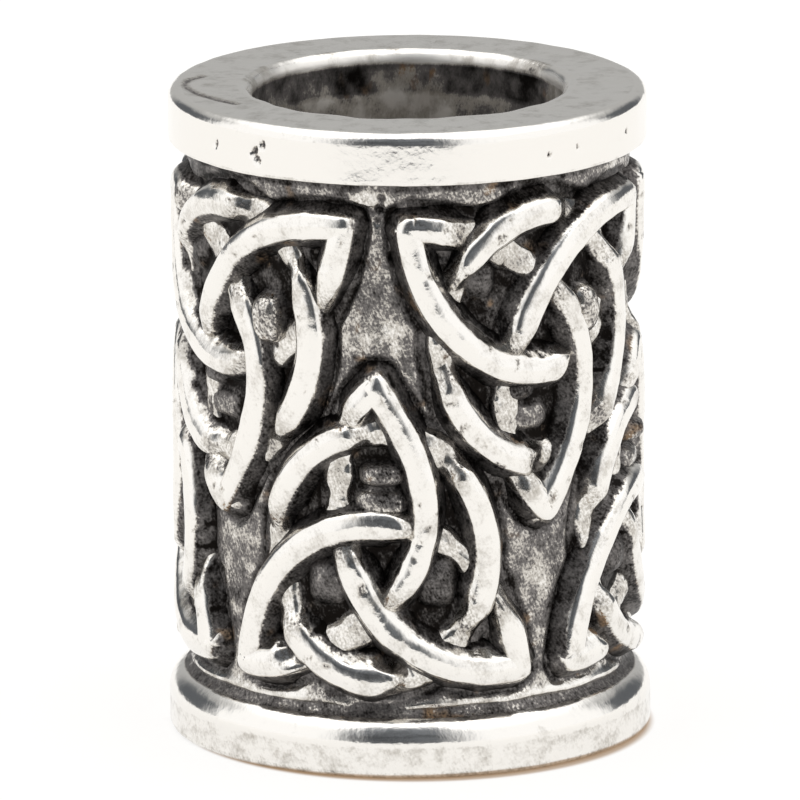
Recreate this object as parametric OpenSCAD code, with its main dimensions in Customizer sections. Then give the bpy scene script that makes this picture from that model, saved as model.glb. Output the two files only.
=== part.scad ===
// Dreadlock bead: one cast sleeve with a plain bore and a rim at each end.
// Between the rims stand two rows of knots. Each knot is a triangle of three arcs, woven
// over and under a ring, with a pellet in each of its lobes. The upper row hangs point
// down, half a step round from the lower row. The origin is the middle of the bore, on the
// flat foot of the bottom rim. +Z runs up the bore and -Y faces the middle of a lower knot.

/* [Bead] */
// Height of the bead
bead_h = 16.4; // [15.6:0.1:20]
// Diameter of the bore, which the lock of hair goes through
bore_d = 7.8; // [6:0.1:8.4]
// Diameter of the ground that the knots stand on
ground_d = 10.8; // [10.4:0.1:11.2]

/* [Top rim] */
// How far the top rim's side stands out from the ground
rim_out = 0.6; // [0.4:0.05:1.5]
// Height of the top rim's side
rim_h = 1.35; // [1:0.05:2]
// Rounding between the top face and the rim's side
rim_round = 0.3; // [0.1:0.05:0.4]
// Rounding of the rim's lower edge
rim_edge = 0.1; // [0.04:0.02:0.2]
// Hollow rounding where the rim meets the ground below it
neck_round = 0.2; // [0.1:0.05:0.3]
// Rounding of the bore's two mouths
mouth_round = 0.3; // [0.1:0.05:0.4]

/* [Bottom rim] */
// How far the bottom rim's side stands out from the ground
base_out = 0.675; // [0.4:0.025:1.5]
// Height of the bottom rim's upright side
base_h = 0.85; // [0.6:0.05:1.5]
// Height of the rounded shoulder above it
shoulder_h = 0.7; // [0.3:0.05:1]
// Rounding of the outer edge that the bead stands on
foot_round = 0.15; // [0.05:0.05:0.3]

/* [Knots] */
// Knots in each row
knots = 4; // [2:1:4]
// Width of a knot, from the middle of one foot to the middle of the other
knot_w = 7.6; // [6.5:0.1:7.8]
// Height of a knot, from its feet to its point
knot_h = 7.3; // [6.8:0.1:8]
// Height of the arch that joins the feet
arch_h = 3.8; // [3.3:0.05:4]
// Distance from the bottom rim up to the feet of the lower knots
cove_h = 1.05; // [0.6:0.05:1.4]
// Distance from the top rim down to the feet of the upper knots
neck_h = 1.15; // [0.6:0.05:1.6]

/* [Ring] */
// Width of the ring woven through a knot
ring_w = 5.85; // [5.4:0.05:6]
// Height of that ring
ring_h = 6.35; // [5.8:0.05:6.5]
// Height of the ring's middle above the knot's feet
ring_up = 2.95; // [2.9:0.05:3.2]

/* [Strands and pellets] */
// Height of a strand's crown above the ground
strand_h = 0.55; // [0.45:0.05:0.8]
// Width of a strand between the edges of its top
strand_w = 0.62; // [0.5:0.02:0.7]
// How much wider a strand's foot spreads on each side
strand_draft = 0.25; // [0:0.01:0.3]
// How much a strand's crown stands above its two edges
strand_crown = 0.1; // [0.04:0.01:0.15]
// How far a strand dips where it passes under another
strand_dip = 0.36; // [0.2:0.02:0.4]
// Diameter of a pellet
pellet_d = 1.1; // [0.6:0.05:1.2]
// Height of a pellet above the ground
pellet_h = 0.3; // [0.15:0.05:0.4]

/* [Hidden] */

bore_r = bore_d / 2;
ground_r = ground_d / 2;
crest_r = ground_r + strand_h;
rim_r = ground_r + rim_out;
base_r = ground_r + base_out;

// Depth below the ground to the turned wall, to the roots of what is raised on it, and to
// the inside of the raised band, which laps over the turned wall
wall_depth = 0.4;
root_depth = 0.25;
lap_depth = 0.7;
wall_r = ground_r - wall_depth;
root_r = ground_r - root_depth;
lap_r = ground_r - lap_depth;

under_rim_z = bead_h - rim_h;
shoulder_z = base_h + shoulder_h;
lower_feet_z = shoulder_z + cove_h;
upper_feet_z = under_rim_z - neck_h;
neck = min(neck_round, (rim_r - rim_edge - ground_r) / 2);

// Steps along an arc, round a ring, round the ground, round a pellet or a tip, and in a
// rounding
arc_steps = 14;
ring_steps = 24;
ground_sides = 32;
pellet_sides = 8;
round_steps = 4;

// The arcs of a knot are curves with four controls. Across is a share of half the knot's
// width. Up is a share of the knot's height, or of the arch's height for the arch.
ARCH = [[-1, 0], [-0.83, 4 / 3], [0.83, 4 / 3], [1, 0]];
LIMB = [[0, 1], [1.13, 0.195], [-0.92, -0.05], [-1, 0]];
BACK_LIMB = [[1, 0], [-0.3, -0.07], [-0.58, 0.79], [0, 1]];

// Where along each arc, from 0 to 1, it dips under its neighbour and then under the ring
ARCH_DIP = [0.55, 0.9];
LIMB_DIP = [0.39, 0.78];
BACK_LIMB_DIP = [0.49, 0.9];
// Share of a dip, at each of its ends, that is the slope into it
DIP_SLOPE = 0.24;
// Directions from the ring's middle, in degrees, of its three dips, and how far each of
// them reaches to either side
RING_DIPS = [-287, -170, -56];
RING_DIP_REACH = 30;

// Middles of the pellets in the lower and the upper knots, as shares of half the ring's
// width and half its height
LOWER_PELLETS = [[0.55, -0.2], [-0.48, -0.22], [0.05, 0.67]];
UPPER_PELLETS = [[0.52, -0.14], [-0.24, 0.4], [-0.64, -0.5]];
// A pellet's width where it meets the ground, and at its top, as shares of its diameter
PELLET_TAPER = [1.15, 0.5];

// Points round an arc of the turned profile
function rounding(centre, r, from, to) = [
    for (i = [0:round_steps])
    let (a = from + (to - from) * i / round_steps)
    centre + r * [cos(a), sin(a)]
];

// The shoulder is a quarter of an ellipse, from the bottom rim's side in to the ground
function shoulder() = [
    for (i = [0:round_steps])
    let (a = 90 * i / round_steps)
    [ground_r + (base_r - ground_r) * cos(a), base_h + shoulder_h * sin(a)]
];

function bezier(p, t) =
    pow(1 - t, 3) * p[0] + 3 * t * pow(1 - t, 2) * p[1]
    + 3 * t * t * (1 - t) * p[2] + pow(t, 3) * p[3];

// Direction in which a curve runs
function bezier_run(p, t) =
    pow(1 - t, 2) * (p[1] - p[0]) + 2 * t * (1 - t) * (p[2] - p[1])
    + t * t * (p[3] - p[2]);

// Angle round the bead of a place on a knot's flat plane, rolled on at the crest
function turn(across) = across / crest_r * 180 / PI;

function wrapped(across, up, out) = [out * sin(turn(across)), -out * cos(turn(across)), up];

function smooth(x) = let (s = min(max(x, 0), 1)) s * s * (3 - 2 * s);

// 1 along the bottom of a dip, 0 outside it
function dip_share(t, dip) =
    let (slope = DIP_SLOPE * (dip[1] - dip[0]))
    smooth((t - dip[0]) / slope) * smooth((dip[1] - t) / slope);

// A strand's section, from one root over its crown to the other
function section(top) = [
    [-strand_w / 2 - strand_draft, root_r],
    [-strand_w / 2, top - strand_crown],
    [0, top],
    [strand_w / 2, top - strand_crown],
    [strand_w / 2 + strand_draft, root_r]
];

// A section set square across a strand that passes a place on the knot's plane
function cross_section(place, run, top) =
    let (side = [-run[1], run[0]] / norm(run))
    [for (s = section(top)) wrapped(place[0] + s[0] * side[0], place[1] + s[0] * side[1], s[1])];

// Skin over a row of sections, joined end to start where the strand is closed
module strand(sections, closed) {
    count = len(sections);
    sides = len(sections[0]);
    walls = [
        for (i = [0:count - (closed ? 1 : 2)], j = [0:sides - 1])
        let (
            here = i * sides,
            next = (i + 1) % count * sides,
            k = (j + 1) % sides
        )
        each [[here + j, next + k, next + j], [here + j, here + k, next + k]]
    ];
    ends = [
        [for (j = [sides - 1:-1:0]) j],
        [for (j = [0:sides - 1]) (count - 1) * sides + j]
    ];
    polyhedron(points = [for (s = sections) each s], faces = concat(walls, closed ? [] : ends));
}

module arc(controls, height, dip) {
    p = [for (c = controls) [c[0] * knot_w / 2, c[1] * height]];
    strand([
        for (i = [0:arc_steps])
        let (t = i / arc_steps)
        cross_section(bezier(p, t), bezier_run(p, t), crest_r - strand_dip * dip_share(t, dip))
    ], false);
}

// The ring dips under a limb or the arch at every other crossing
module ring() {
    strand([
        for (i = [0:ring_steps - 1])
        let (
            a = -360 * i / ring_steps,
            place = [ring_w / 2 * cos(a), ring_up + ring_h / 2 * sin(a)],
            run = [ring_w / 2 * sin(a), -ring_h / 2 * cos(a)],
            dip = max([for (d = RING_DIPS) smooth(2 - 2 * abs(a - d) / RING_DIP_REACH)])
        )
        cross_section(place, run, crest_r - strand_dip * dip)
    ], true);
}

// A stud that points straight out of the ground
module stud(across, up, height, foot_d, top_d) {
    rotate([0, 0, turn(across)])
    translate([0, -root_r, up])
    rotate([90, 0, 0])
    cylinder(h = height, d1 = foot_d, d2 = top_d, $fn = pellet_sides);
}

// Rounded tip where two arcs meet
module tip(across, up) {
    stud(across, up, crest_r - strand_crown / 2 - root_r, strand_w + 2 * strand_draft, strand_w);
}

module pellet(across, up) {
    stud(across, up, root_depth + pellet_h, pellet_d * PELLET_TAPER[0], pellet_d * PELLET_TAPER[1]);
}

module knot(pellets) {
    arc(ARCH, arch_h, ARCH_DIP);
    arc(LIMB, knot_h, LIMB_DIP);
    arc(BACK_LIMB, knot_h, BACK_LIMB_DIP);
    ring();
    for (side = [-1, 1])
        tip(side * knot_w / 2, 0);
    tip(0, knot_h);
    for (p = pellets)
        pellet(p[0] * ring_w / 2, ring_up + p[1] * ring_h / 2);
}

// The ground between the knots, a sleeve that runs on into both rims
module ground() {
    bottom = base_h / 2;
    height = bead_h - rim_h / 2 - bottom;
    translate([0, 0, bottom])
    linear_extrude(height)
    difference() {
        circle(r = ground_r, $fn = ground_sides);
        circle(r = lap_r, $fn = ground_sides);
    }
}

// Ground and knots are one raised band, brought to exactly the diameter over the crowns
module relief() {
    resize([2 * crest_r, 2 * crest_r, 0])
    union() {
        ground();
        for (k = [0:knots - 1]) {
            rotate([0, 0, k * 360 / knots])
            translate([0, 0, lower_feet_z])
            knot(LOWER_PELLETS);

            rotate([0, 0, (k + 0.5) * 360 / knots])
            translate([0, 0, upper_feet_z])
            mirror([0, 0, 1])
            knot(UPPER_PELLETS);
        }
    }
}

// The turned form under the relief: the bore, both rims and the wall between them
module turned_body() {
    rotate_extrude($fn = 96)
    polygon(concat(
        rounding([bore_r + mouth_round, mouth_round], mouth_round, 180, 270),
        rounding([base_r - foot_round, foot_round], foot_round, 270, 360),
        shoulder(),
        [[wall_r, shoulder_z], [wall_r, under_rim_z - neck]],
        rounding([ground_r + neck, under_rim_z - neck], neck, 180, 90),
        rounding([rim_r - rim_edge, under_rim_z + rim_edge], rim_edge, 270, 360),
        rounding([rim_r - rim_round, bead_h - rim_round], rim_round, 0, 90),
        rounding([bore_r + mouth_round, bead_h - mouth_round], mouth_round, 90, 180)
    ));
}

module bead() {
    color("#b9b8b4")
    union() {
        turned_body();
        relief();
    }
}

bead();
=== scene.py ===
"""A dreadlock bead: a cast sleeve with woven knots between two rims, in antiqued silver.

Lengths are worked out in millimetres and put into the meshes in metres. Angles round the
bead start at -Y and grow towards +X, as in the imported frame.
"""
import math
from functools import partial

import bpy
import numpy as np
from mathutils import Matrix, Vector


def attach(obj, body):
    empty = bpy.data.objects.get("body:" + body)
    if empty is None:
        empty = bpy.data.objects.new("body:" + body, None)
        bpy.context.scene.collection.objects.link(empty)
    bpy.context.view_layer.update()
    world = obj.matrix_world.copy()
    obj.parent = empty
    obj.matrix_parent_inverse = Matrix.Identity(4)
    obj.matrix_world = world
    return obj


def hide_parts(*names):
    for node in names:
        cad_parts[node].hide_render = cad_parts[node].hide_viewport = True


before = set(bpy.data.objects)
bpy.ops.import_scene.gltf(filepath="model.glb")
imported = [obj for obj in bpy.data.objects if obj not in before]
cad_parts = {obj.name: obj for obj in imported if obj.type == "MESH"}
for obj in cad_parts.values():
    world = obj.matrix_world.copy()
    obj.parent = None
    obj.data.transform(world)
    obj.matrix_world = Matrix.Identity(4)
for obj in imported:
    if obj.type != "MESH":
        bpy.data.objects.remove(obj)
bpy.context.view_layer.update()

bl_info = {
    "name": "Dreadlock bead",
    "version": (1, 0, 0),
    "blender": (4, 5, 0),
    "location": "3D View > Sidebar > Bead",
    "description": "A cast sleeve bead with woven knots between two rims, and its photo stage",
    "category": "Add Mesh",
}

MM = 0.001

# Knots in each row, and the seeds of the rows' first strands
KNOTS = 4
LOWER_SEED = 3
UPPER_SEED = 31

# How far the strands' roots, the wall between the rims and the inside of the cast ground lie
# below the ground's face, in mm. The ground laps over the wall
ROOT_DEPTH = 0.25
WALL_DEPTH = 0.4
LAP_DEPTH = 0.7

# Wear of what another piece hides
HIDDEN_WEAR = 0.1

# The arcs of a knot are curves with four controls. Across is a share of half the knot's
# width. Up is a share of the knot's height, or of the arch's height for the arch.
ARCH = np.array([[-1, 0], [-0.83, 4 / 3], [0.83, 4 / 3], [1, 0]])
LIMB = np.array([[0, 1], [1.13, 0.195], [-0.92, -0.05], [-1, 0]])
BACK_LIMB = np.array([[1, 0], [-0.3, -0.07], [-0.58, 0.79], [0, 1]])

# Where along each arc, from 0 to 1, it dips under its neighbour and then under the ring
ARCH_DIP = (0.55, 0.9)
LIMB_DIP = (0.39, 0.78)
BACK_LIMB_DIP = (0.49, 0.9)
DIP_SLOPE = 0.24

# Directions from the ring's middle of its three dips, and their reach to either side
RING_DIPS = np.radians([-287, -170, -56])
RING_DIP_REACH = math.radians(30)

# Pellets of the lower and the upper knots, and the lump of metal left above each arch. Each
# has its middle, as shares of half the ring's width and half its height, its reach across
# and up, as shares of a pellet's diameter, how far it stands out, as a share of a pellet's
# height, and its wear
LOWER_PELLETS = (
    (0.55, -0.2, 1.0, 1.15, 1.0, 0.3), (-0.48, -0.22, 1.0, 1.05, 1.0, 0.34),
    (0.05, 0.67, 1.15, 0.54, 1.4, 0.44), (0.04, 0.44, 1.35, 0.66, 1.1, 0.46))
UPPER_PELLETS = (
    (0.52, -0.14, 0.85, 1.2, 1.4, 0.62), (-0.24, 0.4, 0.9, 0.55, 1.0, 0.34),
    (-0.64, -0.5, 0.8, 0.9, 0.8, 0.32), (-0.15, 0.64, 1.35, 0.6, 0.7, 0.48))


def length(name, description, millimetres):
    """A length that the user can change, in metres, with its default in millimetres."""
    return bpy.props.FloatProperty(
        name=name, description=description, default=millimetres * MM,
        min=0, unit="LENGTH", precision=5,
    )


def linear(code):
    """The linear colour of an sRGB hex code."""
    parts = [int(code[i:i + 2], 16) / 255 for i in (1, 3, 5)]
    return tuple(c / 12.92 if c <= 0.04045 else ((c + 0.055) / 1.055) ** 2.4 for c in parts)


def tint(name, description, code):
    """A colour that the user can change, with its default as an sRGB hex code."""
    return bpy.props.FloatVectorProperty(
        name=name, description=description, default=linear(code),
        subtype="COLOR", min=0, max=1,
    )


class BeadSizes(bpy.types.PropertyGroup):
    height: length("Height", "Height of the bead", 16.4)
    bore: length("Bore", "Diameter of the bore", 7.8)
    ground: length("Ground", "Diameter of the ground under the knots", 10.8)
    rim_out: length("Top rim out", "How far the top rim stands out from the ground", 0.6)
    rim_h: length("Top rim height", "Height of the top rim's side", 1.35)
    rim_round: length("Top rim rounding", "Rounding of the top rim's outer edge", 0.3)
    mouth_round: length("Mouth rounding", "Rounding of the bore's mouths", 0.3)
    base_out: length("Bottom rim out", "How far the bottom rim stands out", 0.675)
    base_h: length("Bottom rim height", "Height of the bottom rim's upright side", 0.85)
    shoulder_h: length("Shoulder", "Height of the shoulder above that side", 0.7)
    foot_round: length("Foot rounding", "Rounding of the edge that it stands on", 0.15)
    knot_w: length("Knot width", "Width of a knot between the middles of its feet", 7.6)
    knot_h: length("Knot height", "Height of a knot from its feet to its point", 7.3)
    arch_h: length("Arch height", "Height of the arch that joins the feet", 3.8)
    cove_h: length("Cove", "From the bottom rim up to the lower knots' feet", 1.05)
    neck_h: length("Neck", "From the top rim down to the upper knots' feet", 1.15)
    ring_w: length("Ring width", "Width of the ring woven through a knot", 5.85)
    ring_h: length("Ring height", "Height of that ring", 6.35)
    ring_up: length("Ring up", "Height of the ring's middle above the feet", 2.95)
    strand_h: length("Strand height", "Height of a strand above the ground", 0.55)
    strand_w: length("Strand width", "Width of a strand's top", 0.62)
    strand_dip: length("Strand dip", "How far a strand dips under another", 0.36)
    pellet_d: length("Pellet", "Diameter of a pellet", 1.1)
    pellet_h: length("Pellet height", "Height of a pellet above the ground", 0.3)


class BeadFinish(bpy.types.PropertyGroup):
    silver: tint("Silver", "Polished silver plate on the high places", "#F2EFEA")
    oxide: tint("Oxide", "Blackening left in the recesses", "#1A1715")
    film: tint("Film", "Thin grey film where the blackening is half rubbed off", "#868280")
    dull: tint("Dull silver", "Silver with a little of the film left on it", "#BDB8B0")
    tan: tint("Tan", "Warm tarnish in a few hollows", "#9A7A55")


class StageSettings(bpy.types.PropertyGroup):
    floor: tint("Floor", "Matt floor, under its own light", "#8C8A86")
    # Shade: the colour of the painted shadow ring on the floor round the bead's foot
    shade: tint("Shade", "Floor in the bead's shade", "#A88A6C")
    softbox: tint("Softbox", "Light of the white surroundings", "#FFFFFF")
    front: tint("Front", "The darker place in front, where the camera stands", "#595C60")
    back: tint("Back", "The darker room behind", "#ADADAC")


def sizes():
    """All sizes in millimetres, with the radii and heights that follow from them."""
    group = bpy.context.scene.bead_sizes
    s = {k: getattr(group, k) / MM for k in BeadSizes.__annotations__}
    s["ground_r"] = s["ground"] / 2
    s["bore_r"] = s["bore"] / 2
    s["crest_r"] = s["ground_r"] + s["strand_h"]
    s["root_r"] = s["ground_r"] - ROOT_DEPTH
    s["rim_r"] = s["ground_r"] + s["rim_out"]
    s["base_r"] = s["ground_r"] + s["base_out"]
    s["under_rim_z"] = s["height"] - s["rim_h"]
    s["shoulder_z"] = s["base_h"] + s["shoulder_h"]
    s["lower_feet_z"] = s["shoulder_z"] + s["cove_h"]
    s["upper_feet_z"] = s["under_rim_z"] - s["neck_h"]
    return s


def smooth(x):
    """Soft step from 0 to 1: three squares less two cubes, held at both ends."""
    c = np.clip(x, 0, 1)
    return c * c * (3 - 2 * c)


def step(x, start, reach):
    """0 up to a start and 1 from its reach on, with a soft step between."""
    return smooth((x - start) / reach)


def bell(x, place, reach):
    """1 at a place, falling off to both sides like a bell, by e at its reach."""
    return np.exp(-((x - place) / reach) ** 2)


LATTICE = np.random.default_rng(11).uniform(-1, 1, (64, 64, 64))

# Stands for the distance to anything that is this far away or farther, in mm
FAR = 9.0


def grain(points, size, shift=0.0):
    """Smooth noise from -1 to 1: random values at the corners of cubes of that size, in mm,
    blended across each cube with a soft step."""
    q = points / size + shift
    low = np.floor(q).astype(int)
    f = q - low
    f = f * f * (3 - 2 * f)
    total = np.zeros(points.shape[:-1])
    for corner in np.ndindex(2, 2, 2):
        weight = np.prod(np.where(corner, f, 1 - f), axis=-1)
        i = (low + corner) & 63
        total += weight * LATTICE[i[..., 0], i[..., 1], i[..., 2]]
    return total


def waves(points, *grains):
    """A sum of grains, each given as its amount, its size in mm and its shift."""
    return sum(amount * grain(points, size, shift) for amount, size, shift in grains)


def from_turn(angle, turn):
    """The angle round from a turn, from minus half a turn to half a turn."""
    return (angle - turn + math.pi) % (2 * math.pi) - math.pi


def nearest(spots, places):
    """The distance from each spot to the nearest of some places, a few places at a time."""
    gap = np.full(spots.shape[:-1], FAR)
    for part in np.array_split(places, 1 + len(places) // 8):
        gap = np.minimum(gap, np.linalg.norm(spots[..., None, :] - part, axis=-1).min(axis=-1))
    return gap


def pit_share(angle, z, r, turn, height, width, up_share, lean=0.0):
    """1 in a pit and 0 outside it: e to the power of less the fourth power of the distance
    from its middle in widths. Heights count by a share, and the pit can lean to one side."""
    side = from_turn(angle, math.radians(turn)) * r
    away = np.hypot(side + lean * (z - height), up_share * (z - height)) / width
    return np.exp(-away ** 4)


def wrapped(s, middle, across, up, out):
    """A place on a knot's flat plane, rolled on at the crest round an angle of the bead:
    out times the sine and the cosine of the angle across."""
    a = middle + across / s["crest_r"]
    return np.stack([out * np.sin(a), -out * np.cos(a), up], axis=-1)


def grid_faces(rows, columns, close_rows, start):
    """Quads over a grid of points whose last column meets its first, each from a place to its
    next column and next row."""
    i = np.arange(rows if close_rows else rows - 1)
    i, j = np.meshgrid(i, np.arange(columns), indexing="ij")
    here, side = i * columns, (i + 1) % rows * columns
    k = (j + 1) % columns
    return np.stack([here + j, here + k, side + k, side + j], axis=-1).reshape(-1, 4) + start


class Shell:
    """Patches of points, quads and triangles, gathered into one mesh."""

    def __init__(self):
        self.points, self.quads, self.tris, self.wear, self.count = [], [], [], [], 0

    def grid(self, points, wear, close_rows=True, flip=False):
        """Adds a grid of points whose last column meets its first. Returns its first point."""
        rows, columns = points.shape[:2]
        quads = grid_faces(rows, columns, close_rows, self.count)
        self.quads.append(quads[:, ::-1] if flip else quads)
        self.points.append(points.reshape(-1, 3))
        self.wear.append(wear.reshape(-1))
        start, self.count = self.count, self.count + rows * columns
        return start

    def fan(self, ring, centre, wear, flip):
        """Closes a ring of points with triangles to one point in its middle."""
        a, b = ring, np.roll(ring, -1)
        if flip:
            a, b = b, a
        self.tris.append(np.stack([a, b, np.full(len(a), self.count)], axis=-1))
        self.points.append(np.reshape(centre, (1, 3)))
        self.wear.append(np.array([wear]))
        self.count += 1

    def piece(self, name, material):
        """Puts the patches into a mesh in metres, smooth, with wear and painted light as a
        point attribute.
        """
        points = np.concatenate(self.points) * MM
        quads = np.concatenate(self.quads).reshape(-1)
        tris = np.concatenate(self.tris).reshape(-1) if self.tris else np.zeros(0, int)
        sides = np.concatenate([np.full(len(quads) // 4, 4), np.full(len(tris) // 3, 3)])
        mesh = bpy.data.meshes.new(name)
        mesh.vertices.add(len(points))
        mesh.vertices.foreach_set("co", points.astype(np.float32).ravel())
        mesh.loops.add(len(quads) + len(tris))
        mesh.loops.foreach_set("vertex_index", np.concatenate([quads, tris]).astype(np.int32))
        mesh.polygons.add(len(sides))
        starts = np.concatenate([[0], np.cumsum(sides)[:-1]])
        mesh.polygons.foreach_set("loop_start", starts.astype(np.int32))
        mesh.update(calc_edges=True)
        mesh.validate()
        mesh.shade_smooth()
        # Wear, with the painted shade and highlights that ride in it
        attribute = mesh.attributes.new("wear", "FLOAT", "POINT")
        attribute.data.foreach_set("value", np.concatenate(self.wear).astype(np.float32))
        mesh.materials.append(material)
        obj = bpy.data.objects.new(name, mesh)
        bpy.context.scene.collection.objects.link(obj)
        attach(obj, "root")
        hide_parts("bead")
        return obj


# ---- strands


# Section of a strand: the slope of its roof and how softly its ridge turns, how far the
# roof bows down by its edges, how softly the edges turn, and the slopes of a flank that
# faces sideways or down, and of one that faces up
ROOF = 0.15
RIDGE = 0.08
BOW = 0.028
EDGE = 0.035
FLANK = 1.8
FLANK_UP = 1.1
SECTION_POINTS = 15

# Steps along an arc and round a ring, and round the end of an arc, in degrees of its quarter
ARC_STEPS = 150
RING_STEPS = 270
END_TURNS = (12, 27, 42, 57, 72, 86)

# Between one strand's layer of the noise and the next one's, in mm
LAYER = 3.7

# Grains, each with its amount, size in mm and shift: the uneven hand of the maker in a
# strand's width and height along its line, the same in its dips, how it leans to one side and
# the edge of its polish; and that edge on a flank that faces up, flecked as a painted
# highlight of the light from above over the polish
WIDTH_WAVES = ((0.07, 1.1, 0), (0.05, 0.4, 9))
DIP_WIDTH_WAVES = ((0.3, 0.5, 17),)
HEIGHT_WAVES = ((0.02, 1.4, 4),)
DIP_HEIGHT_WAVES = ((0.06, 0.45, 19),)
LEAN_WAVES = ((0.1, 1.3, 27),)
POLISH_WAVES = ((0.05, 1.1, 23), (0.02, 0.3, 25))
POLISH_AND_HIGHLIGHT_WAVES_UP = ((0.16, 0.5, 29), (0.096, 0.24, 31))

# How much wider a strand is in its dips, and how far its crest lies below the bead's
DIP_WIDER = 0.12
CREST_LOWER = 0.02

# Wear of a strand's flanks, what its polished top has more, and of its closed ends
FLANK_WEAR = 0.34
TOP_WEAR = 0.57
END_WEAR = 0.2

# How much less the buff, and the painted highlight with it, reach flanks that face up on a
# knot's outer side, for the ring and for the arcs
OUTSIDE_OF_RING = 0.35
OUTSIDE_OF_ARC = 0.65

# Dips begin unevenly, in steps along the strand: how many before a dip are poorly cast, how
# far a dip's beginning is shifted at most, the sizes of that noise in mm along the strand
# and across it, and how much sooner a dip begins by the strand's edges
BEFORE_DIP = 13
DIP_SHIFT = 4.5
SHIFT_ALONG = 1.8
SHIFT_ACROSS = 0.4
EDGES_SOONER = 2.5

# Where a strand's looks change, by how far its skin has fallen in mm: the polished top ends,
# and a little farther down on flanks that face up, where the extra reach is painted
# highlight, and softly; the root darkens, flanks that face up darken, and the skin gets
# rough, each with its softness
TOP_EDGE = 0.09
TOP_EDGE_UP_HIGHLIGHT = 0.2
TOP_SOFT = 0.08
ROOT_DARK = (0.48, 0.12)
FACING_UP_DARK = (0.12, 0.08)
ROUGH = (0.1, 0.15)

# Depth of a strand's pits, and how far its rough skin is shifted sideways, in mm
STRAND_PIT_DEPTH = 0.022
SIDEWAYS = 0.022


def fall(x, half, flank):
    """How far a strand's skin lies below its crest, at a distance from its middle line: a
    low roof with a soft ridge, a little bowed, and from the roof's edges flanks of even
    slope, which begin softly."""
    x = np.abs(x)
    roof = ROOF * (np.hypot(x, RIDGE) - RIDGE) + BOW * np.minimum(x / half, 1.3) ** 2
    return roof + (flank - ROOF) * EDGE * np.logaddexp(0, (x - half) / EDGE)


def across_steps(half, depth):
    """Distances across half a strand, out to where its skin has fallen by a depth, closest
    together round the top's edge."""
    x = np.linspace(0, 5 * half, 1500)
    x = x[fall(x, half, FLANK_UP + 0.2) < depth]
    way = np.cumsum(1 + 1.5 * bell(x, half, 0.12) - 0.5 * step(x, 2.6 * half, 0.1))
    return np.interp(np.linspace(way[0], way[-1], SECTION_POINTS + 1), way, x)


def bezier(p, t):
    """A curve with four controls and its direction, at shares t of its run."""
    t = t[:, None]
    u = 1 - t
    place = u ** 3 * p[0] + 3 * t * u ** 2 * p[1] + 3 * t ** 2 * u * p[2] + t ** 3 * p[3]
    run = u ** 2 * (p[1] - p[0]) + 2 * t * u * (p[2] - p[1]) + t ** 2 * (p[3] - p[2])
    return place, run / np.linalg.norm(run, axis=1, keepdims=True)


def dip_share(t, dip):
    """1 along the bottom of a dip and 0 outside it, with a soft slope at each end."""
    slope = DIP_SLOPE * (dip[1] - dip[0])
    return step(t, dip[0], slope) * step(-t, -dip[1], slope)


def arc_line(s, controls, height, dip, count):
    """Places, directions and dips along one arc of a knot."""
    t = np.linspace(0, 1, count)
    place, run = bezier(controls * [s["knot_w"] / 2, height], t)
    return place, run, dip_share(t, dip)


def ring_line(s, count):
    """Places, directions and dips round the ring: an ellipse, which dips three times."""
    a = -2 * math.pi * np.arange(count) / count
    place = np.stack([
        s["ring_w"] / 2 * np.cos(a), s["ring_up"] + s["ring_h"] / 2 * np.sin(a)], axis=-1)
    run = np.stack([s["ring_w"] / 2 * np.sin(a), -s["ring_h"] / 2 * np.cos(a)], axis=-1)
    dip = smooth(2 - 2 * np.abs(a[:, None] - RING_DIPS) / RING_DIP_REACH).max(axis=1)
    return place, run / np.linalg.norm(run, axis=1, keepdims=True), dip


def knot_lines(s, dense=1.0):
    """The four strands of a knot on its flat plane, arch, limb, back limb and ring, each with
    whether it is closed. Dense is the share of their usual steps that they have."""
    arcs = ((ARCH, s["arch_h"], ARCH_DIP), (LIMB, s["knot_h"], LIMB_DIP),
            (BACK_LIMB, s["knot_h"], BACK_LIMB_DIP))
    lines = [(*arc_line(s, *arc, round(ARC_STEPS * dense)), False) for arc in arcs]
    return [*lines, (*ring_line(s, round(RING_STEPS * dense)), True)]


def with_ends(place, run, dip, reach):
    """Adds to an open strand the steps of a round end: steps beyond each end, with the share
    of the width that is left there, from the sine and cosine of a quarter turn."""
    turn = np.radians(END_TURNS)
    beyond, left = reach * np.sin(turn), np.cos(turn)
    first = place[0] - beyond[::-1, None] * run[0]
    last = place[-1] + beyond[:, None] * run[-1]
    ones = np.ones((len(turn), 1))
    return (
        np.concatenate([first, place, last]),
        np.concatenate([ones * run[0], run, ones * run[-1]]),
        np.concatenate([ones[:, 0] * dip[0], dip, ones[:, 0] * dip[-1]]),
        np.concatenate([beyond[::-1], np.zeros(len(place)), beyond]),
        np.concatenate([left[::-1], np.ones(len(place)), left]),
    )


def in_layer(flat, seed):
    """Places on a knot's plane, in a strand's own layer of the noise."""
    return np.concatenate([flat, np.full(flat.shape[:-1] + (1,), LAYER * seed)], axis=-1)


def facing_up_share(s, place, side, x, sign, closed):
    """How far each flank faces up, from 0 to 1, less where it is on a knot's outer side: a
    strand's direction to its side, and that direction from the ring's middle."""
    outward = place - [0, s["ring_up"]]
    outward = outward / np.linalg.norm(outward, axis=1, keepdims=True)
    outward = smooth(0.5 + np.sign(x) * (outward * side).sum(axis=1, keepdims=True))
    less = OUTSIDE_OF_RING if closed else OUTSIDE_OF_ARC
    return np.clip(np.sign(x) * side[:, 1:] * sign, 0, 1) * (1 - less * outward)


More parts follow.
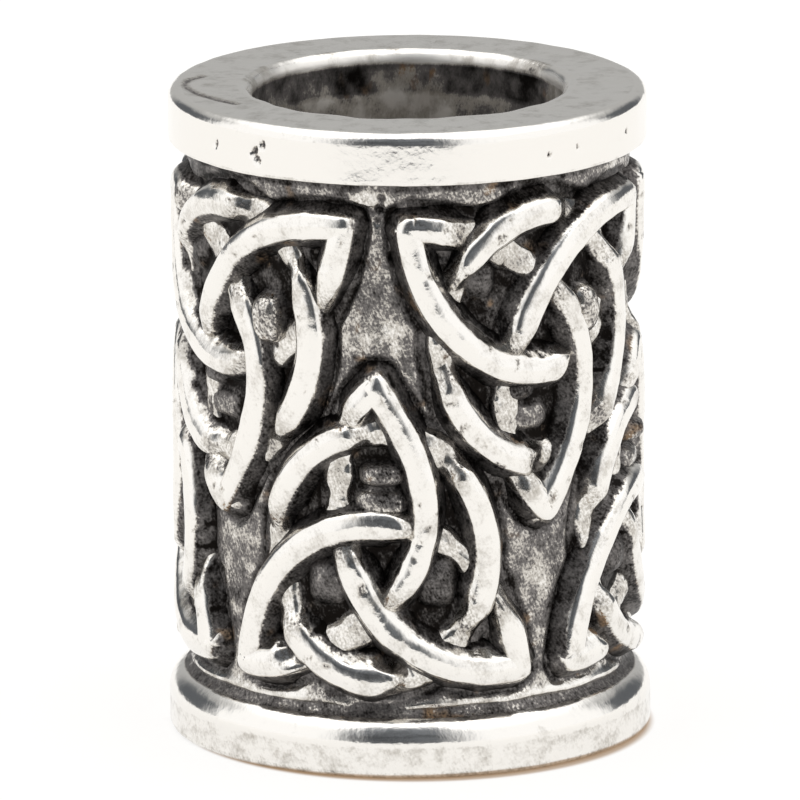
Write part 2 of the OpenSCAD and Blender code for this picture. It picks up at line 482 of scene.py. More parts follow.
def uneven_dips(line_spot, dip, x, half):
    """A strand's dips over its whole width, and the half millimetre before them, where it is
    poorly cast and buffed. Both begin a little sooner by its edges than on its ridge, by the
    square of the distance across, and unevenly."""
    before = np.convolve(smooth(4 * dip), np.ones(BEFORE_DIP) / BEFORE_DIP, "same")
    steps = np.arange(len(dip))
    slow = np.repeat(line_spot[:, None], len(x), axis=1) / SHIFT_ALONG
    slow[..., 2] += x / SHIFT_ACROSS
    uneven = steps[:, None] + DIP_SHIFT * grain(slow, 1.0, 33)
    sooner = EDGES_SOONER * np.minimum((x / half) ** 2, 2)
    return [np.maximum(np.interp(uneven - sooner, steps, share),
                       np.interp(uneven + sooner, steps, share)) for share in (dip, before)]


def strand_wear(spot, drop, facing_up):
    """Bright where the skin has fallen by less than a fringe, and darker again towards the
    root.
    On flanks that face up the fringe is wider, and that extra width is painted highlight of the
    light from above."""
    # Painted highlight: on flanks that face up the fringe reaches farther down, with a flecked
    # edge
    edge = drop - (TOP_EDGE + TOP_EDGE_UP_HIGHLIGHT * facing_up)
    edge += waves(spot, *POLISH_WAVES) + facing_up * waves(spot, *POLISH_AND_HIGHLIGHT_WAVES_UP)
    wear = FLANK_WEAR + TOP_WEAR * (1 - step(edge, 0, TOP_SOFT))
    return wear - 0.2 * step(drop, *ROOT_DARK) - 0.16 * facing_up * step(drop, *FACING_UP_DARK)


def add_strand(shell, s, line, middle, up, sign, seed):
    """A section carried along a line on the knot's plane and rolled on to the bead. The skin
    lies at the crest less its fall, roughened on the flanks and where the strand dips."""
    place, run, dip, closed = line
    half = s["strand_w"] / 2
    x = across_steps(half, s["crest_r"] - s["root_r"])
    x = np.concatenate([-x[:0:-1], x])
    if closed:
        beyond, left = np.zeros(len(place)), np.ones(len(place))
    else:
        place, run, dip, beyond, left = with_ends(place, run, dip, x[-1])
    side = np.stack([-run[:, 1], run[:, 0]], axis=-1)
    across = x * left[:, None]
    flat = place[:, None] + across[..., None] * side[:, None]
    spot, line_spot = in_layer(flat, seed), in_layer(place, seed)
    wide = 1 + waves(line_spot, *WIDTH_WAVES)
    wide += dip * (DIP_WIDER + waves(line_spot, *DIP_WIDTH_WAVES))
    high = waves(line_spot, *HEIGHT_WAVES) + dip * waves(line_spot, *DIP_HEIGHT_WAVES)
    facing_up = facing_up_share(s, place, side, x, sign, closed)
    far = np.hypot(across, beyond[:, None]) / wide[:, None]
    drop = fall(far, half, FLANK - (FLANK - FLANK_UP) * facing_up)
    dip, before = uneven_dips(line_spot, dip, x, half)
    wear = strand_wear(spot, drop, facing_up) * (1 - 0.34 * before * (1 - dip) - 0.2 * dip)
    rough = np.maximum(step(drop, *ROUGH) * (0.3 + 0.7 * facing_up), 0.7 * before)
    drop += CREST_LOWER - high[:, None] + s["strand_dip"] * dip
    drop += waves(line_spot, *LEAN_WAVES)[:, None] * across
    drop += (0.004 + 0.017 * rough) * grain(spot, 0.14, 5)
    drop += (0.012 + 0.03 * dip) * grain(spot, 0.45, 2)
    pits = step(grain(spot, 0.19, 13), 0.5, 0.25) * step(grain(spot, 1.2, 15), -0.1, 0.3)
    drop += STRAND_PIT_DEPTH * pits
    sideways = SIDEWAYS * rough * grain(spot, 0.16, 7)
    flat = flat + sideways[..., None] * side[:, None]
    out = np.maximum(s["crest_r"] - drop, s["root_r"])
    points = wrapped(s, middle, flat[..., 0], up + sign * flat[..., 1], out)
    flip = sign > 0
    start = shell.grid(points, wear - 0.3 * pits, close_rows=closed, flip=flip)
    if not closed:
        rows, columns = points.shape[:2]
        for row, turned in ((0, not flip), (rows - 1, flip)):
            ring = start + row * columns + np.arange(columns)
            shell.fan(ring, points[row].mean(axis=0), END_WEAR, turned)


def knot_row(s, name, material, turn, up, sign, seed):
    """One row of knots, evenly round the bead from a turn on. The seeds of a knot's strands
    follow each other, and the next knot's begin five on."""
    shell = Shell()
    for k in range(KNOTS):
        for n, line in enumerate(knot_lines(s)):
            middle = turn + k * 2 * math.pi / KNOTS
            add_strand(shell, s, line, middle, up, sign, seed + 5 * k + n)
    return shell.piece(name, material)


# ---- ground


# The grid of the ground's outside, round and up, and how far above the middle of the bottom
# rim's side it begins
GROUND_COLUMNS = 512
GROUND_ROWS = 178
GROUND_START = 0.4

# The share of their usual steps that the strands have when distances to them are measured
MAP_DENSE = 0.55

# Forms of the ground, each with its place and its reach in mm: a hollow and the raised web
# beyond it, by the distance from a strand's edge; a ledge, up from the shoulder, with a
# painted sheen; a groove, the neck and the painted shade under the top rim, up from that
# rim's lower edge; and the cove, down from the lower knots' feet
HOLLOW = (0.33, 0.06)
WEB = (0.27, 0.26)
LEDGE = (0.26, 0.13)
GROOVE = (-0.72, 0.07)
NECK = (-0.68, 0.1)
PAINTED_SHADE_UNDER_RIM = (-0.27, 0.1)
COVE = (0.1, 0.4)

# The ground's unevenness, as grains: all over, finer and twice as much inside the knots, on
# the pellets, in the forms' edges, and the patches of wear on the web
GROUND_WAVES = ((0.03, 0.9, 0),)
FINE_WAVES = ((0.014, 0.28, 3),)
PELLET_WAVES = ((0.05, 0.45, 8), (0.02, 0.16, 6))
HOLLOW_WAVES = ((0.05, 0.5, 12),)
LEDGE_WAVES = ((0.05, 1.3, 6),)
NECK_WAVES = ((0.05, 0.8, 4),)
PATCHES = ((0.06, 2.2, 2), (0.12, 0.5, 1), (0.16, 0.24, 7))

# How deep in the ground the pellets begin, in mm
PELLET_ROOT = 0.2

# Pits in the ground: degrees round from the lower knot's middle, height and width, and for
# all of them the depth and the share by which heights count
GROUND_PITS = ((1.4, 14.66, 0.1), (0.8, 14.36, 0.1), (0.4, 14.08, 0.07), (4, 13.2, 0.06))
GROUND_PIT_DEPTH = 0.14
GROUND_PIT_UP = 0.7


def inside(points, loop):
    """1 where a closed loop goes round a point and 0 elsewhere: the sum of the angles that
    the loop's sides take up, seen from the point."""
    total = np.zeros(len(points))
    for a, b in zip(loop, np.roll(loop, -1, axis=0)):
        u, v = a - points, b - points
        total += np.arctan2(u[:, 0] * v[:, 1] - u[:, 1] * v[:, 0], (u * v).sum(axis=1))
    return (np.abs(total) > math.pi).astype(float)


def pellet_relief(s, spots, pellets):
    """The height share and the wear of the pellets at places on a knot's plane. A pellet's
    height is the root of what is left of 1.3 when the cubes of the distances from its middle,
    across and up and as shares of its half sizes, are taken away."""
    height, worn = np.zeros((2, len(spots)))
    for across, up, wide, high, tall, wear in pellets:
        middle = [across * s["ring_w"] / 2, s["ring_up"] + up * s["ring_h"] / 2]
        half = np.array([wide, high]) * s["pellet_d"] / 2
        cubes = (np.abs((spots - middle) / half) ** 3).sum(axis=1)
        share = tall * np.sqrt(np.clip(1.3 - cubes, 0, 1.3) / 1.3)
        worn = np.where(share > height, wear * smooth(1.5 * share / tall), worn)
        height = np.maximum(height, share)
    return height, worn


def relief_map(s, angle, z):
    """For places on the ground: the distance to the nearest strand's middle line, whether a
    knot's outline goes round them, and the height share and the wear of a pellet there."""
    near = np.full(angle.shape, FAR)
    within, pellet, worn = np.zeros((3, *angle.shape))
    places = [line[0] for line in knot_lines(s, MAP_DENSE)]
    triangle, ring = np.concatenate(places[:3])[::3], places[3][::3]
    rows = [(0.0, s["lower_feet_z"], 1, LOWER_PELLETS),
            (math.pi / KNOTS, s["upper_feet_z"], -1, UPPER_PELLETS)]
    for k in range(KNOTS):
        for turn, feet, sign, pellets in rows:
            across = from_turn(angle, turn + k * 2 * math.pi / KNOTS) * s["crest_r"]
            up = sign * (z - feet)
            pick = (np.abs(across) < s["knot_w"] / 2 + 1) & (up > -1) & (up < s["knot_h"] + 1)
            spots = np.stack([across[pick], up[pick]], axis=-1)
            near[pick] = np.minimum(near[pick], nearest(spots, np.concatenate(places)))
            for loop in (triangle, ring):
                within[pick] = np.maximum(within[pick], inside(spots, loop))
            share, wear = pellet_relief(s, spots, pellets)
            worn[pick] = np.where(share > pellet[pick], wear, worn[pick])
            pellet[pick] = np.maximum(pellet[pick], share)
    return near, within, pellet, worn


def ground_skin(s, angle, z):
    """How far out the ground lies, and its wear: low beside the strands and inside the knots,
    with the pellets as domes, a few pits, and the ledge, the neck and the groove by the
    rims. The wear also holds painted shade under the top rim and a painted sheen on the ledge."""
    near, within, pellet, worn = relief_map(s, angle, z)
    base = wrapped(s, 0, angle * s["crest_r"], z, s["ground_r"])
    gap, from_rim = near - s["strand_w"] / 2, z - s["under_rim_z"]
    hollow = bell(gap + waves(base, *HOLLOW_WAVES), *HOLLOW)
    web = step(gap, *WEB) * (1 - within)
    ledge = bell(z - s["shoulder_z"] + waves(base, *LEDGE_WAVES), *LEDGE)
    groove = bell(from_rim, *GROOVE)
    neck = step(from_rim + waves(base, *NECK_WAVES), *NECK)
    pits = sum(pit_share(angle, z, s["ground_r"], *pit, GROUND_PIT_UP) for pit in GROUND_PITS)
    # The forms' heights, in mm, then the pellets' domes, and what each adds to the wear
    out = s["ground_r"] - 0.03 + 0.05 * web - 0.08 * hollow * (1 - 0.5 * within)
    out += 0.11 * ledge + 0.13 * neck - 0.05 * groove - GROUND_PIT_DEPTH * pits
    out += waves(base, *GROUND_WAVES) + (1 + within) * waves(base, *FINE_WAVES)
    dome = s["ground_r"] - PELLET_ROOT + (s["pellet_h"] + PELLET_ROOT) * pellet
    dome += waves(base, *PELLET_WAVES)
    is_dome = step(dome, out, 0.1) * (pellet > 0)
    out = np.where(pellet > 0, np.maximum(out, dome), out)
    wear = 0.31 + web * (0.22 + waves(base, *PATCHES)) - 0.16 * hollow - 0.11 * within
    wear += neck * (0.07 * np.cos(4 * angle + 1) + 0.12 * grain(base, 1.2, 14))
    # Painted sheen: the ledge is lighter in level streaks, for the light from above on its
    # upper side, over the real wear of its ridge
    wear += 0.3 * ledge * (0.5 + grain(base * [1, 1, 3], 1.5, 21))
    # Painted shade: darker just under the top rim, where the rim's shade falls
    wear += 0.04 * step(s["lower_feet_z"] - z, *COVE) - 0.2 * step(from_rim, *PAINTED_SHADE_UNDER_RIM)
    wear -= 0.18 * groove + 0.35 * pits
    return out, wear + (worn - wear) * is_dome


def ground_piece(s, material):
    """The ground between the rims: a sleeve with that skin outside and a plain wall inside."""
    turn = 2 * math.pi * np.arange(GROUND_COLUMNS) / GROUND_COLUMNS
    bottom, top = s["base_h"] / 2 + GROUND_START, s["height"] - s["rim_h"] / 2
    angle, z = np.meshgrid(turn, np.linspace(bottom, top, GROUND_ROWS))
    out, wear = ground_skin(s, angle, z)
    outer = wrapped(s, 0, angle * s["crest_r"], z, out)
    inner = wrapped(s, 0, angle[[-1, 0]] * s["crest_r"], z[[-1, 0]], s["ground_r"] - LAP_DEPTH)
    hidden = np.full((2, GROUND_COLUMNS), HIDDEN_WEAR)
    shell = Shell()
    shell.grid(np.concatenate([outer, inner]), np.concatenate([wear, hidden]))
    return shell.piece("cast_ground", material)


# ---- rims and bore


RIM_COLUMNS = 640

# Rounding of the top rim's lower edge, and of the corner where the neck meets that rim
RIM_EDGE = 0.09
NECK_ROUND = 0.2

# How far round the shoulder's quarter of an ellipse goes, in degrees, before the cove
SHOULDER_TURN = 62

# Unevenness of the rims and of the bore, as grains, how much the rims have lost to the buff,
# and the patches of wear in the bore
RIM_WAVES = ((0.012, 1.6, 0), (0.006, 0.5, 3))
BORE_WAVES = ((0.03, 0.6, 5),)
BUFFED_OFF = 0.014
BORE_PATCHES = ((0.3, 0.9, 7), (0.22, 0.45, 9))


def rounding(centre, r, start, stop, count):
    """Points round an arc of a profile, from one angle in degrees to another."""
    a = np.radians(np.linspace(start, stop, count))
    return np.stack([centre[0] + r * np.cos(a), centre[1] + r * np.sin(a)], axis=-1)


def straight(start, stop, count):
    """Points along a straight part of a profile, without its last."""
    t = np.linspace(0, 1, count, endpoint=False)[:, None]
    return np.array(start) * (1 - t) + np.array(stop) * t


def rim_profile(s):
    """The closed profile of both rims and the bore as radius and height, with the wear of
    each of its points: from the bore's lower mouth out over the foot and up."""
    bore, foot, mouth = s["bore_r"], s["foot_round"], s["mouth_round"]
    base, rim, top, ground = s["base_r"], s["rim_r"], s["height"], s["ground_r"]
    under, edge, soft, wall = s["under_rim_z"], RIM_EDGE, s["rim_round"], ground - WALL_DEPTH
    quarter = np.radians(np.linspace(0, SHOULDER_TURN, 14))
    shoulder = np.stack([ground + s["base_out"] * np.cos(quarter),
                         s["base_h"] + s["shoulder_h"] * np.sin(quarter)], axis=-1)
    r, low = shoulder[-1]
    cove = np.array([
        [r, low], [r - 0.14, low + 0.06], [ground + 0.06, low + 0.2], [ground, low + 0.42]])
    parts = [
        (rounding((bore + mouth, mouth), mouth, 180, 270, 8), 0.7),
        (straight((bore + mouth + 0.05, 0), (base - foot, 0), 5), 0.8),
        (rounding((base - foot, foot), foot, 270, 360, 6), 0.8),
        (straight((base, foot + 0.04), (base, s["base_h"]), 9), 0.86),
        (shoulder, 1.0),
        (bezier(cove, np.linspace(0, 1, 9)[1:])[0], 0.42),
        (np.array([[wall, low + 0.6], [wall, under - 0.4]]), HIDDEN_WEAR),
        (rounding((ground + NECK_ROUND, under - NECK_ROUND), NECK_ROUND, 180, 90, 6), 0.5),
        (straight((ground + 0.24, under), (rim - edge, under), 4), 0.5),
        (rounding((rim - edge, under + edge), edge, 270, 360, 5), 0.9),
        (straight((rim, under + edge + 0.05), (rim, top - soft), 13), 1.08),
        (rounding((rim - soft, top - soft), soft, 0, 90, 11), 1.0),
        (straight((rim - soft - 0.06, top), (bore + mouth, top), 22), 0.88),
        (rounding((bore + mouth, top - mouth), mouth, 90, 180, 9), 1.0),
        (straight((bore, top - mouth - 0.1), (bore, top - 1.2), 5), 0.42),
        (straight((bore, top - 1.2), (bore, top - 5.5), 12), 0.71),
        (straight((bore, top - 5.5), (bore, mouth), 8), 0.62),
    ]
    profile = np.concatenate([places for places, _ in parts])
    return profile, np.concatenate([np.full(len(places), wear) for places, wear in parts])


# Pits in the rims: degrees round from the lower knot's middle, height, width, depth and
# lean, and the share by which heights count in all of them
PIT_UP = 0.8
PITS = (
    (-44.2, 15.69, 0.08, 0.10, 0.0),
    (-28.6, 15.9, 0.09, 0.12, 0.2), (-31, 15.7, 0.1, 0.14, -0.3), (-30, 15.5, 0.08, 0.12, 0.4),
    (73.6, 15.69, 0.05, 0.06, 0.0), (52.9, 15.71, 0.05, 0.05, 0.5),
    (44, 15.62, 0.05, 0.05, 0.0),
)

# A scratch in the top face: degrees round and distance from the axis of its corners, and its
# half width and depth in mm
SCRATCH = ((-92, 5.2), (-87, 5.5), (-80, 5.56), (-71, 5.34), (-62, 5.05), (-54, 4.8))
SCRATCH_HALF = 0.1
SCRATCH_DEPTH = 0.035


def scratch_path():
    """Places along the scratch, seen from above, straight between its corners."""
    turn, far = np.array(SCRATCH).T
    t = np.linspace(0, len(turn) - 1, 50)
    a, far = (np.interp(t, np.arange(len(turn)), v) for v in (np.radians(turn), far))
    return np.stack([far * np.sin(a), -far * np.cos(a)], axis=-1)


def rims_piece(s, material):
    """Both rims and the bore: a profile turned round the axis, with slow waves, pits and a
    scratch pressed into it."""
    profile, wear = rim_profile(s)
    angle = 2 * math.pi * np.arange(RIM_COLUMNS) / RIM_COLUMNS
    angle, r, z, wear = np.broadcast_arrays(
        angle, profile[:, :1], profile[:, 1:], wear[:, None])
    spot = wrapped(s, 0, angle * s["crest_r"], z, r)
    run = np.roll(profile, -1, axis=0) - np.roll(profile, 1, axis=0)
    run /= np.linalg.norm(run, axis=1, keepdims=True)
    outer = step(profile[:, :1], s["bore_r"] + 0.2, 0.2)
    push = outer * (waves(spot, *RIM_WAVES) - BUFFED_OFF)
    push += (1 - outer) * waves(spot, *BORE_WAVES)
    wear = wear + (1 - outer) * waves(spot, *BORE_PATCHES)
    for turn, height, width, depth, lean in PITS:
        pit = pit_share(angle, z, s["rim_r"], turn, height, width, PIT_UP, lean)
        pit *= r > s["rim_r"] - 0.2
        push -= depth * pit
        wear -= 0.8 * pit
    scratch = bell(nearest(spot[..., :2], scratch_path()), 0, SCRATCH_HALF)
    scratch *= spot[..., 2] > s["height"] - 0.05
    # The push goes along the profile's outward normal
    r = r + push * run[:, 1:]
    z = np.clip(z - push * run[:, :1] - SCRATCH_DEPTH * scratch, 0, s["height"])
    shell = Shell()
    shell.grid(wrapped(s, 0, angle * s["crest_r"], z, r), wear - 0.5 * scratch)
    return shell.piece("rims_and_bore", material)


# ---- material


# The radius at which the skin is unrolled for the material's grains, half way up the strands,
# and the depth of its bumps, in mm
SKIN_RADIUS = 5.7
BUMP_DEPTH = 0.02

# The wear between which grey skin turns to polished skin
POLISH = (0.66, 0.88)


def add_node(tree, kind, inputs=None, **settings):
    """Adds a node with its settings. An input is a value, or a socket to link from."""
    node = tree.nodes.new(kind)
    for name, value in settings.items():
        setattr(node, name, value)
    for name, value in (inputs or {}).items():
        if isinstance(value, bpy.types.NodeSocket):
            tree.links.new(value, node.inputs[name])
        else:
            node.inputs[name].default_value = value
    return node


def maths(tree, operation, a, b=0.0):
    """The result of one Math node."""
    return add_node(tree, "ShaderNodeMath", {0: a, 1: b}, operation=operation).outputs[0]


def ramp(tree, value, low, high, to_low=0.0, to_high=1.0):
    """A soft step of a value between two limits."""
    return add_node(
        tree, "ShaderNodeMapRange",
        {"Value": value, "From Min": low, "From Max": high, "To Min": to_low,
         "To Max": to_high},
        interpolation_type="SMOOTHSTEP").outputs["Result"]


def blend_colour(tree, share, a, b):
    """One colour turned into another by a share."""
    node = add_node(tree, "ShaderNodeMix", {0: share, 6: a, 7: b}, data_type="RGBA")
    return node.outputs[2]


def noise(tree, place, size, detail, roughness=0.5):
    """Noise from 0 to 1, in grains of a size, with finer ones in them."""
    return add_node(tree, "ShaderNodeTexNoise", {
        "Vector": place, "Scale": 1 / size, "Detail": detail,
        "Roughness": roughness}).outputs[0]


def rgba(colour):
    """A property's colour with full alpha."""
    return (*colour, 1.0)


def unrolled(tree):
    """The bead's skin unrolled, in millimetres: round, up and out; and how far out alone."""
    place = add_node(tree, "ShaderNodeTexCoord").outputs["Object"]
    xyz = add_node(tree, "ShaderNodeSeparateXYZ", {0: place}).outputs
    turn = maths(tree, "ARCTAN2", xyz["X"], maths(tree, "MULTIPLY", xyz["Y"], -1))
    squares = (maths(tree, "POWER", xyz[axis], 2) for axis in "XY")
    out = maths(tree, "DIVIDE", maths(tree, "SQRT", maths(tree, "ADD", *squares)), MM)
    skin = add_node(tree, "ShaderNodeCombineXYZ", {
        "X": maths(tree, "MULTIPLY", turn, SKIN_RADIUS),
        "Y": maths(tree, "DIVIDE", xyz["Z"], MM), "Z": out})
    return skin.outputs[0], out


def antiqued_silver():
    """Silver plate over a cast alloy, blackened all over, then tumbled and buffed by hand. The
    high places are bright and almost mirror-like, and the blackening stays in the recesses,
    rough and dark, with bright flecks where the buff just reached."""
    finish, s = bpy.context.scene.bead_finish, sizes()
    material = bpy.data.materials.new("antiqued_silver_plate")
    material.use_nodes = True
    tree = material.node_tree
    tree.nodes.clear()
    soft, blend, grains = (partial(f, tree) for f in (ramp, blend_colour, noise))
    plus, minus, times = (partial(maths, tree, f) for f in ("ADD", "SUBTRACT", "MULTIPLY"))
    skin, out = unrolled(tree)
    # The wear attribute: real wear of the blackening, with painted shade under the top rim and
    # painted highlights on flanks that face up and on the ledge
    wear = add_node(tree, "ShaderNodeAttribute", attribute_name="wear").outputs["Fac"]

    # Strokes of the buff and of the casting's skin, 0.05 mm wide and 0.2 mm long, its grit
    # and its blotches, all from -0.5 to 0.5
    leaning = add_node(tree, "ShaderNodeMapping", {
        "Vector": skin, "Rotation": (0, 0, math.radians(24)), "Scale": (0.05, 0.2, 0.1)},
        vector_type="TEXTURE").outputs[0]
    strokes = minus(grains(leaning, 1, 3, 0.6), 0.5)
    grit = minus(grains(skin, 0.07, 2), 0.5)
    blotches = minus(grains(skin, 0.55, 4, 0.62), 0.5)

    # The buff reaches the strands, and less of the ground behind them and of the bore
    in_bore = soft(out, s["bore_r"] + 0.04, s["bore_r"] + 0.12, 1, 0)
    reached = minus(soft(out, s["ground_r"] + 0.12, s["ground_r"] + 0.4, 0.7, 1.0),
                    times(in_bore, 0.45))
    flecks = plus(times(strokes, soft(wear, *POLISH, 0.9, 0.5)),
                  times(grit, soft(wear, *POLISH, 1.0, 0.5)))
    share = times(reached, times(soft(wear, 0.3, 0.5, 0.6, 1.0), soft(wear, *POLISH, 1.0, 0.4)))
    level = plus(plus(wear, times(blotches, 0.8)), times(flecks, share))
    rubbed, film = soft(level, 0.48, 0.68), soft(level, 0.1, 0.6)

    dark = blend(film, rgba(finish.oxide), rgba(finish.film))
    warm = times(soft(grains(skin, 0.9, 2), 0.62, 0.76), film)
    dark = blend(warm, dark, rgba(finish.tan))
    silver = blend(soft(level, 0.62, 0.94), rgba(finish.dull), rgba(finish.silver))
    roughness = plus(soft(rubbed, 0, 1, 0.5, 0.13), times(in_bore, 0.34))

    # Bumps of the strokes and the grit, least where the buff rubbed, over slow ripples
    bump = add_node(tree, "ShaderNodeBump", {
        "Strength": times(reached, soft(rubbed, 0, 1, 0.7, 0.12)),
        "Distance": BUMP_DEPTH * MM, "Height": plus(times(strokes, 0.6), grit)})
    bump = add_node(tree, "ShaderNodeBump", {
        "Strength": 0.5, "Distance": BUMP_DEPTH * MM, "Height": grains(skin, 0.35, 2),
        "Normal": bump.outputs[0]})
    shader = add_node(tree, "ShaderNodeBsdfPrincipled", {
        "Base Color": blend(rubbed, dark, silver), "Metallic": 1.0, "Roughness": roughness,
        "Normal": bump.outputs[0]})
    add_node(tree, "ShaderNodeOutputMaterial", {"Surface": shader.outputs[0]})
    return material


def bead_material():
    """The one finish of the whole casting, made once."""
    return bpy.data.materials.get("antiqued_silver_plate") or antiqued_silver()


# ---- stage


# The camera, as the photo's perspective gives it, in mm and degrees: its lens is for a sensor
# 36 mm wide, and it looks at a point beside the axis, at that height
CAMERA_DISTANCE = 348.81
CAMERA_AZIMUTH = 8.3
CAMERA_ELEVATION = 13.622
CAMERA_ROLL = -0.274
CAMERA_SENSOR = 36
CAMERA_LENS = 13886.65 / 800 * CAMERA_SENSOR
TARGET_ACROSS = -0.216
TARGET_UP = 8.242

# The floor ends this far in front of the bead, and this far behind it and to both sides. Its
# own weak light has that strength
FLOOR_FRONT = 100
FLOOR_REACH = 3000
FLOOR_GLOW = 0.76

# The middle of the painted shadow on the floor, ahead of the bead's and aside, painted as if
# more light came from behind it, and how far inside the bottom rim's radius that painted
# shadow begins and ends, in mm
SHADE_AHEAD = 0.3
SHADE_ASIDE = 0.16
SHADE_FROM = 0.28
SHADE_TO = 0.02

# The dark place in front and two darker corners behind, aside and up: their two limits and
# how soft each limit is. The room behind: where it begins aside, and where it ends above.
# All in degrees
FRONT_ASIDE = (-32, 24, 13, 13)
FRONT_UP = (-12, 66, 2, 10)
CORNER_ASIDE = (112, 152, 8, 8)
CORNER_UP = (-2, 26, 6, 6)
ROOM_ASIDE = (100, 125)
ROOM_UP = (30, 50)


def make_camera():
    """A long lens a third of a metre away, a little above the bead."""
    a, e, roll = (math.radians(v) for v in (CAMERA_AZIMUTH, CAMERA_ELEVATION, CAMERA_ROLL))
    back = Vector((math.sin(a) * math.cos(e), -math.cos(a) * math.cos(e), math.sin(e)))
    right = Vector((math.cos(a), math.sin(a), 0))
    up = back.cross(right)
    target = right * TARGET_ACROSS + Vector((0, 0, TARGET_UP))
    across = right * math.cos(roll) + up * math.sin(roll)
    upward = up * math.cos(roll) - right * math.sin(roll)
    data = bpy.data.cameras.new("camera")
    data.sensor_width = CAMERA_SENSOR
    data.lens = CAMERA_LENS
    data.clip_start, data.clip_end = 0.01, 20
    camera = bpy.data.objects.new("camera", data)
    turn = Matrix((across, upward, back)).transposed().to_4x4()
    camera.matrix_world = Matrix.Translation((target + back * CAMERA_DISTANCE) * MM) @ turn
    bpy.context.scene.collection.objects.link(camera)
    bpy.context.scene.camera = camera


def make_floor(stage):
    """A pale matt floor, lit evenly from below, with a thin warm ring of painted shadow close
    round the bead's foot."""
    material = bpy.data.materials.new("pale_matt_floor")
    material.use_nodes = True
    tree = material.node_tree
    tree.nodes.clear()
    place = add_node(tree, "ShaderNodeTexCoord").outputs["Object"]
    turn = math.radians(CAMERA_AZIMUTH)
    ahead = Vector((math.sin(turn), -math.cos(turn), 0))
    aside = Vector((math.cos(turn), math.sin(turn), 0))
    shade = (ahead * SHADE_AHEAD + aside * SHADE_ASIDE) * MM
    from_shade = add_node(
        tree, "ShaderNodeVectorMath", {0: place, 1: shade}, operation="SUBTRACT").outputs[0]
    far = add_node(
        tree, "ShaderNodeVectorMath", {0: from_shade}, operation="LENGTH").outputs["Value"]
    edge = sizes()["base_r"]
    # Painted shadow: inside a ring round the bead's foot, set a little ahead, the floor's glow
    # turns to the shade colour
    lit = ramp(tree, far, (edge - SHADE_FROM) * MM, (edge - SHADE_TO) * MM)
    glow_with_painted_shadow = blend_colour(tree, lit, rgba(stage.shade), rgba(stage.softbox))
    shader = add_node(tree, "ShaderNodeBsdfPrincipled", {
        "Base Color": rgba(stage.floor), "Roughness": 0.9, "Specular IOR Level": 0.2,
        "Emission Color": glow_with_painted_shadow, "Emission Strength": FLOOR_GLOW})
    add_node(tree, "ShaderNodeOutputMaterial", {"Surface": shader.outputs[0]})
    corners = ((FLOOR_FRONT, -1), (FLOOR_FRONT, 1), (-FLOOR_REACH, 1), (-FLOOR_REACH, -1))
    points = [ahead * front * MM + aside * side * FLOOR_REACH * MM for front, side in corners]
    mesh = bpy.data.meshes.new("floor")
    mesh.from_pydata(points, [], [(0, 1, 2, 3)])
    mesh.materials.append(material)
    floor = bpy.data.objects.new("floor", mesh)
    bpy.context.scene.collection.objects.link(floor)


def band(tree, value, low, high, soft_low, soft_high):
    """1 between two limits and 0 outside, with edges that are soft so far to both sides."""
    return maths(tree, "MULTIPLY", ramp(tree, value, low - soft_low, low + soft_low),
                 ramp(tree, value, high - soft_high, high + soft_high, 1, 0))


def make_light(stage):
    """White surroundings by direction: brightest overhead, with a darker place in front where
    the camera stands, and a darker room with two dark corners behind."""
    world = bpy.context.scene.world or bpy.data.worlds.new("studio")
    bpy.context.scene.world = world
    world.use_nodes = True
    tree = world.node_tree
    tree.nodes.clear()
    soft, blend, within = (partial(f, tree) for f in (ramp, blend_colour, band))
    times = partial(maths, tree, "MULTIPLY")
    way = add_node(tree, "ShaderNodeTexCoord").outputs["Generated"]
    turned = add_node(tree, "ShaderNodeMapping", {
        "Vector": way, "Rotation": (0, 0, -math.radians(CAMERA_AZIMUTH))}).outputs[0]
    xyz = add_node(tree, "ShaderNodeSeparateXYZ", {0: turned}).outputs
    side = maths(tree, "DEGREES", maths(tree, "ARCTAN2", xyz["X"], times(xyz["Y"], -1)))
    up = maths(tree, "DEGREES", maths(tree, "ARCSINE", xyz["Z"]))
    away = maths(tree, "ABSOLUTE", side)
    front = times(within(side, *FRONT_ASIDE), within(up, *FRONT_UP))
    room = times(soft(away, *ROOM_ASIDE), soft(up, *ROOM_UP, 1, 0))
    corner = times(within(away, *CORNER_ASIDE), within(up, *CORNER_UP))
    colour = blend(room, rgba(stage.softbox), rgba(stage.back))
    colour = blend(corner, colour, rgba(stage.front))
    # The dark place is uneven: clutter some 10 degrees wide, and darkest low down
    murk = maths(tree, "ADD", soft(noise(tree, way, 1 / 6, 3, 0.6), 0.35, 0.65, 0.55, 1.35),
                 soft(up, 0, 60, -0.1, 0.35))
    darkness = add_node(tree, "ShaderNodeVectorMath", {
        0: stage.front, "Scale": murk}, operation="SCALE").outputs[0]
    shader = add_node(tree, "ShaderNodeBackground", {
        "Color": blend(front, colour, darkness), "Strength": soft(up, 35, 70, 1.12, 1.9)})
    add_node(tree, "ShaderNodeOutputWorld", {"Surface": shader.outputs[0]})
    view = bpy.context.scene.view_settings
    view.view_transform = "Standard"
    view.look = "None"
    view.exposure = 0
    view.gamma = 1


# ---- operators


class BEAD_OT_ground(bpy.types.Operator):
    """Makes the cast ground between the rims, with its pellets"""
    bl_idname = "bead.ground"
    bl_label = "Cast ground"

    def execute(self, context):
        ground_piece(sizes(), bead_material())
        return {"FINISHED"}


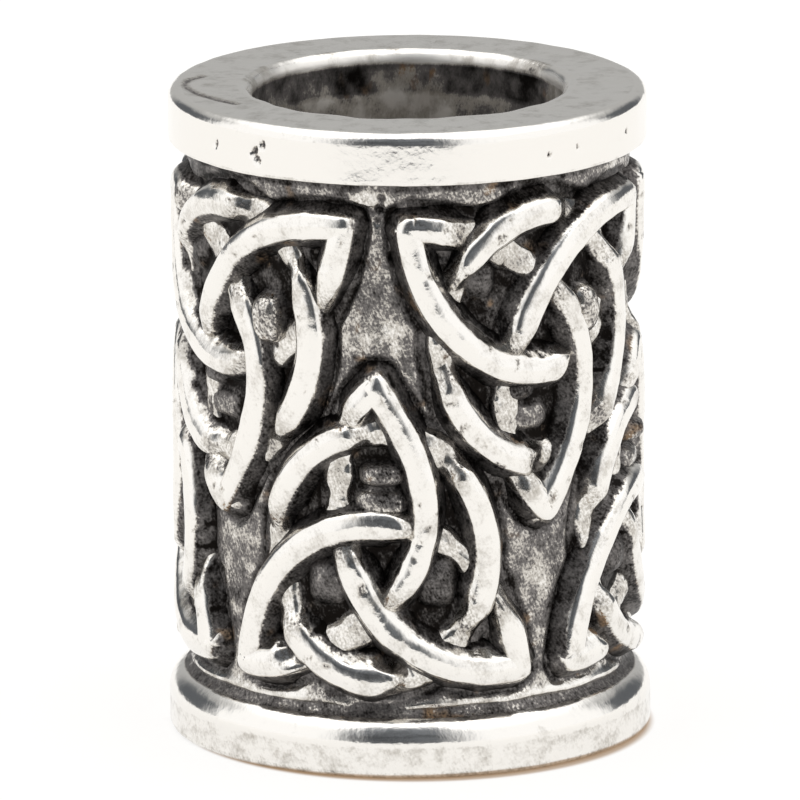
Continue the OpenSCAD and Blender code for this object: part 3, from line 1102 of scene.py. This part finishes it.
class BEAD_OT_knots(bpy.types.Operator):
    """Makes the two rows of woven knots"""
    bl_idname = "bead.knots"
    bl_label = "Woven knots"

    def execute(self, context):
        s = sizes()
        knot_row(s, "lower_knots", bead_material(), 0.0, s["lower_feet_z"], 1, LOWER_SEED)
        knot_row(s, "upper_knots", bead_material(), math.pi / KNOTS, s["upper_feet_z"], -1,
                 UPPER_SEED)
        return {"FINISHED"}


class BEAD_OT_rims(bpy.types.Operator):
    """Makes both rims and the bore"""
    bl_idname = "bead.rims"
    bl_label = "Rims and bore"

    def execute(self, context):
        rims_piece(sizes(), bead_material())
        return {"FINISHED"}


class BEAD_OT_stage(bpy.types.Operator):
    """Makes the camera, the pale floor and the soft light"""
    bl_idname = "bead.stage"
    bl_label = "Photo stage"

    def execute(self, context):
        stage = context.scene.bead_stage
        make_camera()
        make_floor(stage)
        make_light(stage)
        return {"FINISHED"}


class BEAD_PT_pieces(bpy.types.Panel):
    """Lists the bead's pieces, its sizes and its colours"""
    bl_idname = "BEAD_PT_pieces"
    bl_label = "Dreadlock bead"
    bl_space_type = "VIEW_3D"
    bl_region_type = "UI"
    bl_category = "Bead"

    def draw(self, context):
        for operator in OPERATORS:
            self.layout.operator(operator.bl_idname)
        for holder, group in GROUPS.items():
            for key in group.__annotations__:
                self.layout.prop(getattr(context.scene, holder), key)


OPERATORS = (BEAD_OT_rims, BEAD_OT_ground, BEAD_OT_knots, BEAD_OT_stage)
GROUPS = {"bead_sizes": BeadSizes, "bead_finish": BeadFinish, "bead_stage": StageSettings}


def register():
    for group in GROUPS.values():
        bpy.utils.register_class(group)
    for operator in OPERATORS:
        bpy.utils.register_class(operator)
    bpy.utils.register_class(BEAD_PT_pieces)
    for holder, group in GROUPS.items():
        setattr(bpy.types.Scene, holder, bpy.props.PointerProperty(type=group))


def unregister():
    for holder in GROUPS:
        delattr(bpy.types.Scene, holder)
    bpy.utils.unregister_class(BEAD_PT_pieces)
    for cls in reversed((*GROUPS.values(), *OPERATORS)):
        bpy.utils.unregister_class(cls)


def main():
    register()
    bpy.ops.bead.rims()
    bpy.ops.bead.ground()
    bpy.ops.bead.knots()
    bpy.ops.bead.stage()


if __name__ == "__main__":
    main()
